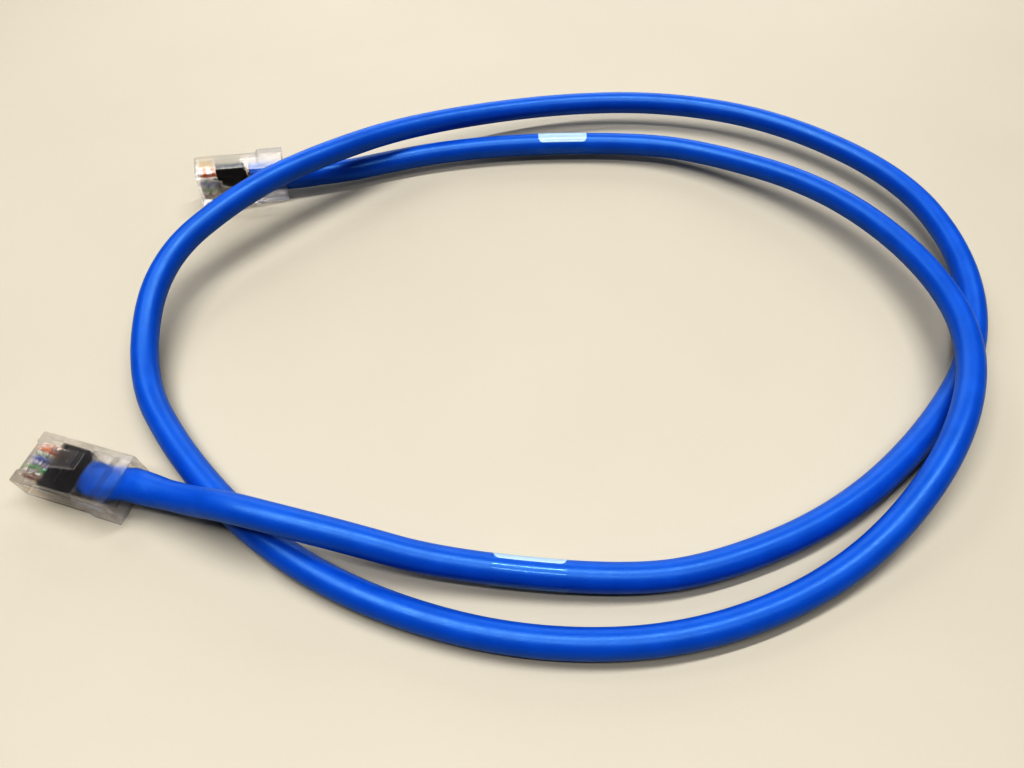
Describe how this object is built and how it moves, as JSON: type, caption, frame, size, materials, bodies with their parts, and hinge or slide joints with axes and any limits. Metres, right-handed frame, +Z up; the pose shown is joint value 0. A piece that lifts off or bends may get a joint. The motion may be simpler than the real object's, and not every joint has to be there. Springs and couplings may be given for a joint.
{
  "type": "ethernet patch cord",
  "caption": "Loosely looped round blue network patch cord with a clear modular plug, gold contacts and a snap latch on each end.",
  "frame": {"origin": "on the table under the middle of the two plugs", "axes": "+Z up; +Y from the near plug to the far plug; +X from the plugs towards the far side of the cord's loops"},
  "size_m": [0.2124, 0.1687, 0.0181],
  "materials": {
    "jacket": "satin blue PVC",
    "clear_plastic": "clear polycarbonate",
    "black_plastic": "black, opaque",
    "gold": "gold plated",
    "label_patch": "pale printed patch",
    "label_film": "clear film",
    "insulation_orange_striped": "white with orange stripe",
    "insulation_orange": "orange",
    "insulation_green_striped": "white with green stripe",
    "insulation_blue": "blue",
    "insulation_blue_striped": "white with blue stripe",
    "insulation_green": "green",
    "insulation_brown_striped": "white with brown stripe",
    "insulation_brown": "brown"
  },
  "bodies": {
    "cord": {"near_plug_housing": "clear_plastic", "near_plug_wire_guide": "black_plastic", "near_plug_contact_1": "gold", "near_plug_contact_2": "gold", "near_plug_contact_3": "gold", "near_plug_contact_4": "gold", "near_plug_contact_5": "gold", "near_plug_contact_6": "gold", "near_plug_contact_7": "gold", "near_plug_contact_8": "gold", "near_plug_conductor_1": "insulation_orange_striped", "near_plug_conductor_2": "insulation_orange", "near_plug_conductor_3": "insulation_green_striped", "near_plug_conductor_4": "insulation_blue", "near_plug_conductor_5": "insulation_blue_striped", "near_plug_conductor_6": "insulation_green", "near_plug_conductor_7": "insulation_brown_striped", "near_plug_conductor_8": "insulation_brown", "far_plug_housing": "clear_plastic", "far_plug_wire_guide": "black_plastic", "far_plug_contact_1": "gold", "far_plug_contact_2": "gold", "far_plug_contact_3": "gold", "far_plug_contact_4": "gold", "far_plug_contact_5": "gold", "far_plug_contact_6": "gold", "far_plug_contact_7": "gold", "far_plug_contact_8": "gold", "far_plug_conductor_1": "insulation_orange_striped", "far_plug_conductor_2": "insulation_orange", "far_plug_conductor_3": "insulation_green_striped", "far_plug_conductor_4": "insulation_blue", "far_plug_conductor_5": "insulation_blue_striped", "far_plug_conductor_6": "insulation_green", "far_plug_conductor_7": "insulation_brown_striped", "far_plug_conductor_8": "insulation_brown", "jacket": "jacket", "near_label_patch": "label_patch", "near_label_film": "label_film", "far_label_patch": "label_patch", "far_label_film": "label_film"},
    "near_latch": {"near_plug_latch": "clear_plastic"},
    "far_latch": {"far_plug_latch": "clear_plastic"}
  },
  "joints": [
    {"name": "near_latch_hinge", "type": "hinge", "parent": "cord", "child": "near_latch", "pos_m": [-0.01626, -0.04257, 0.00673], "axis": [0.3189, 0.9408, 0.1146], "range_deg": [0, 12], "stiffness_Nm_per_rad": 0.12},
    {"name": "far_latch_hinge", "type": "hinge", "parent": "cord", "child": "far_latch", "pos_m": [-0.00203, 0.04311, 0.00712], "axis": [0.0587, 0.0046, 0.9983], "range_deg": [0, 12], "stiffness_Nm_per_rad": 0.12}
  ]
}
